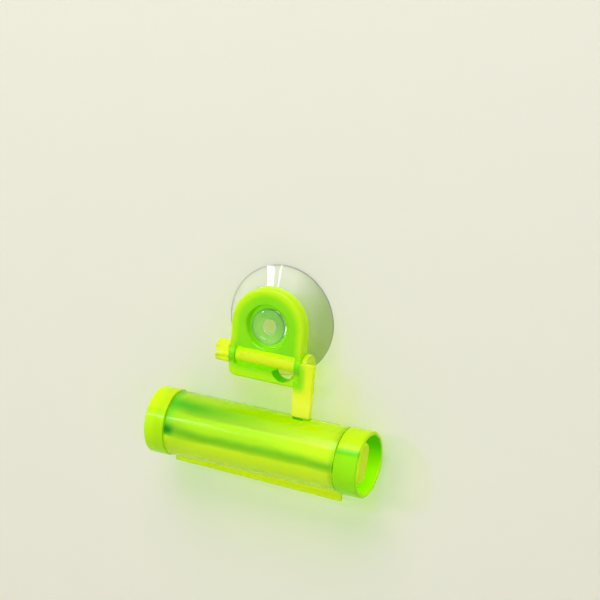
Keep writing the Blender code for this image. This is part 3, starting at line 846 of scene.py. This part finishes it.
def bump(nodes, links, height, strength, distance, before=None):
    node = nodes.new("ShaderNodeBump")
    node.inputs["Strength"].default_value = strength
    node.inputs["Distance"].default_value = distance
    links.new(height, node.inputs["Height"])
    if before:
        links.new(before, node.inputs["Normal"])
    return node.outputs["Normal"]


def axes(nodes, links, coords):
    split = nodes.new("ShaderNodeSeparateXYZ")
    links.new(coords.outputs["Object"], split.inputs["Vector"])
    return split.outputs["X"], split.outputs["Y"], split.outputs["Z"]


def sums(nodes, links, operation, *values):
    node = nodes.new("ShaderNodeMath")
    node.operation = operation
    for socket, value in zip(node.inputs, values):
        if isinstance(value, (int, float)):
            socket.default_value = value
        else:
            links.new(value, socket)
    return node.outputs["Value"]


def distance(nodes, links, across, up):
    squares = [sums(nodes, links, "POWER", value, 2) for value in (across, up)]
    return sums(nodes, links, "SQRT", sums(nodes, links, "ADD", *squares))


def softBand(nodes, links, value, centre, width):
    # 1 in the middle of the band, fading to 0 at width from it
    away = sums(nodes, links, "ABSOLUTE", sums(nodes, links, "SUBTRACT", value, centre))
    fade = ramp(nodes, links, away, 0, width, 1, 0)
    fade.node.interpolation_type = "SMOOTHSTEP"
    return fade


def blend(nodes, links, factor, first, second):
    node = nodes.new("ShaderNodeMix")
    node.data_type = "RGBA"
    links.new(factor, socketNamed(node.inputs, "Factor", "VALUE"))
    for value, name in ((first, "A"), (second, "B")):
        socket = socketNamed(node.inputs, name, "RGBA")
        if isinstance(value, tuple):
            socket.default_value = (*value, 1)
        else:
            links.new(value, socket)
    return socketNamed(node.outputs, "Result", "RGBA")


def letThrough(nodes, links, shader, colour):
    # lamps shine through the see-through plastic
    light = nodes.new("ShaderNodeLightPath")
    clear = nodes.new("ShaderNodeBsdfTransparent")
    clear.inputs["Color"].default_value = (*colour, 1)
    mix = nodes.new("ShaderNodeMixShader")
    links.new(light.outputs["Is Shadow Ray"], mix.inputs["Fac"])
    links.new(shader.outputs["BSDF"], mix.inputs[1])
    links.new(clear.outputs["BSDF"], mix.inputs[2])
    links.new(mix.outputs["Shader"], nodes["output"].inputs["Surface"])


def makePlastic(name, m, paint=None):
    material, nodes, links = blankMaterial(name)
    coords = nodes.new("ShaderNodeTexCoord")
    flow = noise(nodes, links, coords, m["flowScale"], 3)
    colour = blend(nodes, links, ramp(nodes, links, flow, *m["flowRange"]), m["rich"], m["body"])
    if paint:
        colour = paint(nodes, links, coords, colour, flow)
    grain = noise(nodes, links, coords, m["grainScale"], 4, 0.6)
    wave = noise(nodes, links, coords, m["waveScale"], 2)
    normal = bump(nodes, links, wave, *m["waveBump"])
    normal = bump(nodes, links, grain, *m["grainBump"], normal)
    shader = nodes.new("ShaderNodeBsdfPrincipled")
    links.new(colour, shader.inputs["Base Color"])
    links.new(ramp(nodes, links, grain, 0.3, 0.7, *m["roughness"]), shader.inputs["Roughness"])
    links.new(normal, shader.inputs["Normal"])
    shader.inputs["IOR"].default_value = m["ior"]
    shader.inputs["Specular IOR Level"].default_value = m["specular"]
    shader.inputs["Transmission Weight"].default_value = m["transmission"]
    shader.inputs["Coat Weight"].default_value = m["coat"][0]
    shader.inputs["Coat Roughness"].default_value = m["coat"][1]
    depth = nodes.new("ShaderNodeVolumeAbsorption")
    depth.inputs["Color"].default_value = (*m["absorb"], 1)
    depth.inputs["Density"].default_value = m["density"]
    letThrough(nodes, links, shader, m["passed"])
    links.new(depth.outputs["Volume"], nodes["output"].inputs["Volume"])
    return material


# shell: a see-through lime, with painted shade in two soft bands along the barrel's front, at the left
# end and in a spot beside the left cap, and painted light at the right end and along the low front
shellPlastic = {
    "body": (0.72, 0.90, 0.0),
    "rich": (0.66, 0.88, 0.0),
    # deep is the painted shade colour, bright the painted light colour
    "deep": (0.09, 0.60, 0.0),
    "bright": (0.95, 1.0, 0.0),
    # painted shade bands: turn up from straight front, half width, strength at the left and the right end
    "shadeBands": ((radians(54), radians(25), 0.85, 0.05), (radians(3), radians(12.5), 0.56, 0.5)),
    "bandEnds": (-22 * mm, 6 * mm),
    "lowFrom": (radians(-8), radians(-11)),  # one wall alone lies below this, and painted light brightens it
    "wander": 0.08,
    # painted shade at the left end
    "leftEnd": (-28 * mm, -30.5 * mm, 0, 0.5),
    "leftLow": (1, 0.3),  # what the low wall keeps of the left end's painted shade
    # painted light at the upper right end
    "rightEnd": (4 * mm, 24 * mm, 0, 0.7),
    "rightFrom": (0.05, 0.3),
    "shadeSpot": (radians(2), radians(15), -30.5 * mm, 3.5 * mm),  # painted shade: a dark spot beside the left cap
    "dark": (0.0, 0.36, 0.0),
    "lip": (0.90, 0.85, 0.0),
    "lipFrom": (0.1 * mm, 0.4 * mm),  # outside the barrel's radius
    "passed": (0.985, 0.95, 0.88),  # what lamps' light keeps at each surface
    "transmission": 0.62,
    "roughness": (0.12, 0.15),
    "coat": (0.04, 0.04),  # weight and roughness of the polished skin
    "ior": 1.45,
    "specular": 0.02,
    "absorb": (0.915, 0.992, 0.0),
    "density": 1800,
    "flowScale": 45,
    "flowRange": (0.35, 0.68),
    "grainScale": 900,
    "grainBump": (0.08, 0.05 * mm),  # strength and distance
    "waveScale": 70,
    "waveBump": (0.25, 0.6 * mm),
}
capPlastic = dict(
    shellPlastic,
    body=(0.82, 1.0, 0.0),
    rich=(0.75, 0.98, 0.0),
    lower=((0.60, 0.98, 0.0), (0.38, 0.94, 0.0)),  # painted shade on the lower side: left cap, knob
    lowFrom=(radians(38), radians(34), 0, 0.85),
    wander=0.05,
    between=(-1 * mm, 1 * mm),  # the left cap lies on one side, the knob on the other
    knobFrom=(0, 1 * mm),
    outside=(10.8 * mm, 11.5 * mm),
    shadeBand=(0.22, 0.82, 0.0),  # painted shade: a darker line along the knob's front
    bandAt=(radians(30), radians(8)),
    recess=((0.60, 0.96, 0.0), (0.14, 0.68, 0.0)),  # painted shade in the knob's hollow, at its bottom and top
    recessFrom=(-5 * mm, 4 * mm),
    recessWall=0.6 * mm,
    recessFade=1 * mm,
    # painted light: the grip brighter, as if lit through
    grip=(0.93, 1.0, 0.0),
    gripFrom=(1 * mm, 0.5 * mm),  # outside half the grip's length
    coat=(0.08, 0.04),
    transmission=0.30,
)
armPlastic = dict(
    shellPlastic,
    body=(0.98, 0.99, 0.08),
    rich=(0.94, 0.98, 0.03),
    top=(0.92, 0.97, 0.02),
    # pale is painted light across the arm's middle
    pale=(1.0, 1.0, 0.09),
    overlap=(0.36, 0.86, 0.0),  # painted shade where the bracket lies behind
    # foot is painted shade where the arm meets the barrel
    foot=(0.10, 0.55, 0.0),
    paleAt=(-24.8 * mm, 4.3 * mm),  # height and half width
    topFrom=(-21 * mm, -18.5 * mm),
    overlapTop=(-10 * mm, -12.5 * mm),
    overlapRight=(17.5 * mm, 15.5 * mm),
    overlapLeft=(12.2 * mm, 12.6 * mm),
    footFrom=(0.9 * mm, 0.6 * mm),  # painted shade starts this far above the barrel
    absorb=(0.98, 0.995, 0.55),
    transmission=0.45,
    roughness=(0.05, 0.14),
)
bracketPlastic = dict(
    shellPlastic,
    body=(0.43, 0.88, 0.0),
    rich=(0.32, 0.84, 0.0),
    # glow is painted light, along the plate's edge and in the lower bar
    glow=(0.82, 1.0, 0.0),
    lug=(0.26, 0.82, 0.0),
    # notch is painted shade inside the half-moon cut
    notch=(0.08, 0.52, 0.0),
    glowBand=(3.8 * mm, 0.7 * mm),
    lowBar=(-15.5 * mm, -17.5 * mm, 0, 0.72),
    lugFrom=(3.2 * mm, 2.6 * mm),  # in from the bracket's side
    lugHeight=5.5 * mm,
    notchEdge=0.45 * mm,
    notchBelow=(0, -0.5 * mm),
    transmission=0.45,
    roughness=(0.08, 0.18),
)
rollerPlastic = dict(
    shellPlastic,
    body=(0.86, 0.99, 0.0),
    rich=(0.80, 0.97, 0.0),
    # painted shade on the flanks, stronger at the left end
    deep=(0.12, 0.60, 0.0),
    turn=radians(28),
    flank=(radians(28), radians(60)),  # away from the turn above
    along=(-30 * mm, 30 * mm, 1, 0.55),
    transmission=0.25,
)


def aroundBarrel(nodes, links, coords):
    # turn about the barrel's axis, upwards from straight front
    x, y, z = axes(nodes, links, coords)
    forward = sums(nodes, links, "SUBTRACT", barrelAxis.y, y)
    upward = sums(nodes, links, "SUBTRACT", z, barrelAxis.z)
    return x, sums(nodes, links, "ARCTAN2", upward, forward)


def barrelRadius(nodes, links, coords):
    x, y, z = axes(nodes, links, coords)
    along = sums(nodes, links, "SUBTRACT", y, barrelAxis.y)
    up = sums(nodes, links, "SUBTRACT", z, barrelAxis.z)
    return distance(nodes, links, along, up)


def paintShell(nodes, links, coords, colour, flow):
    m = shellPlastic
    x, turn = aroundBarrel(nodes, links, coords)
    wander = ramp(nodes, links, flow, 0.3, 0.7, -m["wander"], m["wander"])
    turn = sums(nodes, links, "ADD", turn, wander)
    # painted shade: two dark bands along the barrel's front
    for centre, width, leftStrength, rightStrength in m["shadeBands"]:
        strength = ramp(nodes, links, x, *m["bandEnds"], leftStrength, rightStrength)
        shadeBand = sums(nodes, links, "MULTIPLY", softBand(nodes, links, turn, centre, width), strength)
        colour = blend(nodes, links, shadeBand, colour, m["deep"])
    # painted shade at the left end, kept less in the low wall
    left = ramp(nodes, links, x, *m["leftEnd"])
    kept = ramp(nodes, links, turn, *m["lowFrom"], *m["leftLow"])
    colour = blend(nodes, links, sums(nodes, links, "MULTIPLY", left, kept), colour, m["deep"])
    # painted shade: a dark spot beside the left cap
    shadeSpotTurn, shadeSpotHeight, shadeSpotX, shadeSpotLength = m["shadeSpot"]
    shadeSpotUp = softBand(nodes, links, turn, shadeSpotTurn, shadeSpotHeight)
    shadeSpotAlong = softBand(nodes, links, x, shadeSpotX, shadeSpotLength)
    colour = blend(nodes, links, sums(nodes, links, "MULTIPLY", shadeSpotUp, shadeSpotAlong), colour, m["dark"])
    # painted light at the upper right end
    right = ramp(nodes, links, x, *m["rightEnd"])
    upper = ramp(nodes, links, turn, *m["rightFrom"])
    colour = blend(nodes, links, sums(nodes, links, "MULTIPLY", right, upper), colour, m["bright"])
    # painted light on the low front, where one wall alone lies
    colour = blend(nodes, links, ramp(nodes, links, turn, *m["lowFrom"]), colour, m["bright"])
    radius = barrelRadius(nodes, links, coords)
    lipStart, lipFull = m["lipFrom"]
    below = ramp(nodes, links, radius, shell["radius"] + lipStart, shell["radius"] + lipFull)
    return blend(nodes, links, below, colour, m["lip"])


def paintRoller(nodes, links, coords, colour, flow):
    # painted shade: deep green flanks, clear yellow along the front
    m = rollerPlastic
    x, turn = aroundBarrel(nodes, links, coords)
    away = sums(nodes, links, "ABSOLUTE", sums(nodes, links, "SUBTRACT", turn, m["turn"]))
    flank = ramp(nodes, links, away, *m["flank"])
    left = ramp(nodes, links, x, *m["along"])
    return blend(nodes, links, sums(nodes, links, "MULTIPLY", flank, left), colour, m["deep"])


def paintCap(nodes, links, coords, colour, flow):
    m = capPlastic
    x, turn = aroundBarrel(nodes, links, coords)
    wander = ramp(nodes, links, flow, 0.3, 0.7, -m["wander"], m["wander"])
    turn = sums(nodes, links, "ADD", turn, wander)
    radius = barrelRadius(nodes, links, coords)
    outside = ramp(nodes, links, radius, *m["outside"])
    # painted shade on the lower side of both caps
    lower = blend(nodes, links, ramp(nodes, links, x, *m["between"]), *m["lower"])
    low = sums(nodes, links, "MULTIPLY", outside, ramp(nodes, links, turn, *m["lowFrom"]))
    colour = blend(nodes, links, low, colour, lower)
    # painted shade line along the knob's front
    outside = sums(nodes, links, "MULTIPLY", outside, ramp(nodes, links, x, *m["knobFrom"]))
    line = sums(nodes, links, "MULTIPLY", outside, softBand(nodes, links, turn, *m["bandAt"]))
    colour = blend(nodes, links, line, colour, m["shadeBand"])
    # painted shade in the knob's hollow
    wall = softBand(nodes, links, radius, knob["radius"] - knob["wall"], m["recessWall"])
    floorX = knobLow.x + knob["floor"]
    inside = ramp(nodes, links, x, floorX, floorX + m["recessFade"])
    height = sums(nodes, links, "SUBTRACT", axes(nodes, links, coords)[2], barrelAxis.z)
    recess = blend(nodes, links, ramp(nodes, links, height, *m["recessFrom"]), *m["recess"])
    colour = blend(nodes, links, sums(nodes, links, "MULTIPLY", wall, inside), colour, recess)
    # painted light on the grip
    halfGrip = knob["gripLength"] / 2
    middle = ramp(nodes, links, radius, halfGrip + m["gripFrom"][0], halfGrip + m["gripFrom"][1])
    return blend(nodes, links, sums(nodes, links, "MULTIPLY", middle, inside), colour, m["grip"])


def paintBracket(nodes, links, coords, colour, flow):
    # painted glow yellows the plate's edge and the lower bar; the lugs are green; painted shade darkens
    # the notch
    m = bracketPlastic
    x, y, z = axes(nodes, links, coords)
    side = sums(nodes, links, "ABSOLUTE", x)
    above = sums(nodes, links, "MAXIMUM", z, 0)
    across = distance(nodes, links, side, above)
    inwards = sums(nodes, links, "SUBTRACT", halfWidth, across)
    glow = ramp(nodes, links, inwards, *m["glowBand"])
    glow.node.interpolation_type = "SMOOTHSTEP"
    colour = blend(nodes, links, glow, colour, m["glow"])
    low = ramp(nodes, links, z, *m["lowBar"])
    colour = blend(nodes, links, low, colour, m["glow"])
    lugStart, lugFull = m["lugFrom"]
    outside = ramp(nodes, links, side, halfWidth - lugStart, halfWidth - lugFull)
    level = softBand(nodes, links, z, pinAxis.z, m["lugHeight"])
    colour = blend(nodes, links, sums(nodes, links, "MULTIPLY", outside, level), colour, m["lug"])
    # painted shade round the notch's curved edge
    rise = sums(nodes, links, "SUBTRACT", z, notchFloor + notchRadius)
    run = sums(nodes, links, "SUBTRACT", x, bracket["notchCentre"])
    reach = distance(nodes, links, rise, run)
    edge = softBand(nodes, links, reach, notchRadius, m["notchEdge"])
    below = ramp(nodes, links, rise, *m["notchBelow"])
    return blend(nodes, links, sums(nodes, links, "MULTIPLY", edge, below), colour, m["notch"])


def paintArm(nodes, links, coords, colour, flow):
    m = armPlastic
    x, y, z = axes(nodes, links, coords)
    # painted light: a paler band across the arm's middle
    colour = blend(nodes, links, softBand(nodes, links, z, *m["paleAt"]), colour, m["pale"])
    high = ramp(nodes, links, z, *m["topFrom"])
    colour = blend(nodes, links, high, colour, m["top"])
    # painted shade where the bracket lies behind the arm
    over = sums(nodes, links, "MULTIPLY", high, ramp(nodes, links, z, *m["overlapTop"]))
    near = ramp(nodes, links, x, *m["overlapRight"])
    strip = ramp(nodes, links, x, *m["overlapLeft"])
    over = sums(nodes, links, "MULTIPLY", over, sums(nodes, links, "MULTIPLY", near, strip))
    colour = blend(nodes, links, over, colour, m["overlap"])
    # painted shade at the foot, above the barrel
    low = ramp(nodes, links, z, roofTop + m["footFrom"][0], roofTop + m["footFrom"][1])
    return blend(nodes, links, low, colour, m["foot"])


clearVinyl = {
    "colour": (0.80, 0.82, 0.77),
    "cloud": (0.77, 0.79, 0.73),
    # painted shade and painted reflection of the green bracket on the cup's right
    "greenShadeAndReflection": (0.48, 0.58, 0.34),
    # rim is painted shade, a dark line round the cup's edge
    "rim": (0.50, 0.53, 0.55),
    # head is painted shade on the head's upper right
    "head": (0.58, 0.70, 0.60),
    "ring": (0.34, 0.46, 0.44),  # painted shade round the head's edge
    "roughness": (0.02, 0.07),
    "ior": 1.45,
    "specular": 0.25,
    "passed": (0.95, 0.955, 0.94),
    "transmission": 0.95,
    "waveScale": 60,
    "waveBump": (0.5, 0.5 * mm),
    "fineScale": 700,
    "greenShadeFrom": (4 * mm, 16 * mm),
    "rimShadeBand": 0.6 * mm,
    "headFrom": (-8 * mm, -9 * mm),
    "headShadeRamp": (-2 * mm, 7 * mm),
    "ringAt": (0.2 * mm, 0.6 * mm),  # inside the head's radius, and half width
}


def makeVinyl(name, m):
    material, nodes, links = blankMaterial(name)
    coords = nodes.new("ShaderNodeTexCoord")
    wave = noise(nodes, links, coords, m["waveScale"], 2)
    fine = noise(nodes, links, coords, m["fineScale"], 4, 0.6)
    colour = blend(nodes, links, ramp(nodes, links, wave, 0.3, 0.7), m["colour"], m["cloud"])
    x, y, z = axes(nodes, links, coords)
    # painted shade and painted reflection of the green bracket, towards the right
    colour = blend(nodes, links, ramp(nodes, links, x, *m["greenShadeFrom"]), colour, m["greenShadeAndReflection"])
    out = distance(nodes, links, x, z)
    # painted shade: a dark line round the rim
    rim = ramp(nodes, links, out, cup["rim"] - m["rimShadeBand"], cup["rim"])
    colour = blend(nodes, links, rim, colour, m["rim"])
    # painted shade on the head's upper right
    front = ramp(nodes, links, y, *m["headFrom"])
    upper = ramp(nodes, links, sums(nodes, links, "ADD", x, z), *m["headShadeRamp"])
    colour = blend(nodes, links, sums(nodes, links, "MULTIPLY", front, upper), colour, m["head"])
    # painted shade ring at the head's edge
    ringInset, ringWidth = m["ringAt"]
    edge = softBand(nodes, links, out, cup["head"] - ringInset, ringWidth)
    colour = blend(nodes, links, sums(nodes, links, "MULTIPLY", front, edge), colour, m["ring"])
    shader = nodes.new("ShaderNodeBsdfPrincipled")
    links.new(colour, shader.inputs["Base Color"])
    links.new(ramp(nodes, links, fine, 0.3, 0.7, *m["roughness"]), shader.inputs["Roughness"])
    links.new(bump(nodes, links, wave, *m["waveBump"]), shader.inputs["Normal"])
    shader.inputs["IOR"].default_value = m["ior"]
    shader.inputs["Specular IOR Level"].default_value = m["specular"]
    shader.inputs["Transmission Weight"].default_value = m["transmission"]
    letThrough(nodes, links, shader, m["passed"])
    return material


# assembly

def fit(piece, node, body, material):
    piece.data.materials.clear()
    piece.data.materials.append(material)
    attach(piece, body)
    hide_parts(node)
    print("made", piece.name)


green = makePlastic("bracketPlastic", bracketPlastic, paintBracket)
lime = makePlastic("shellPlastic", shellPlastic, paintShell)
bright = makePlastic("capPlastic", capPlastic, paintCap)
yellow = makePlastic("armPlastic", armPlastic, paintArm)
deep = makePlastic("rollerPlastic", rollerPlastic, paintRoller)
fit(makeCup(), "suction_cup", "wall_cup", makeVinyl("clearVinyl", clearVinyl))
fit(makeBracket(), "hanger_bracket", "bracket", green)
fit(makeArm(), "hanger_arm", "squeezer", yellow)
fit(makeShell(), "barrel_shell", "squeezer", lime)
fit(makeEndCap(), "left_end_cap", "squeezer", bright)
fit(makeRoller(), "winding_roller", "winder", deep)
fit(makeKnob(), "turning_knob", "winder", bright)
makeStage()
makeCamera()
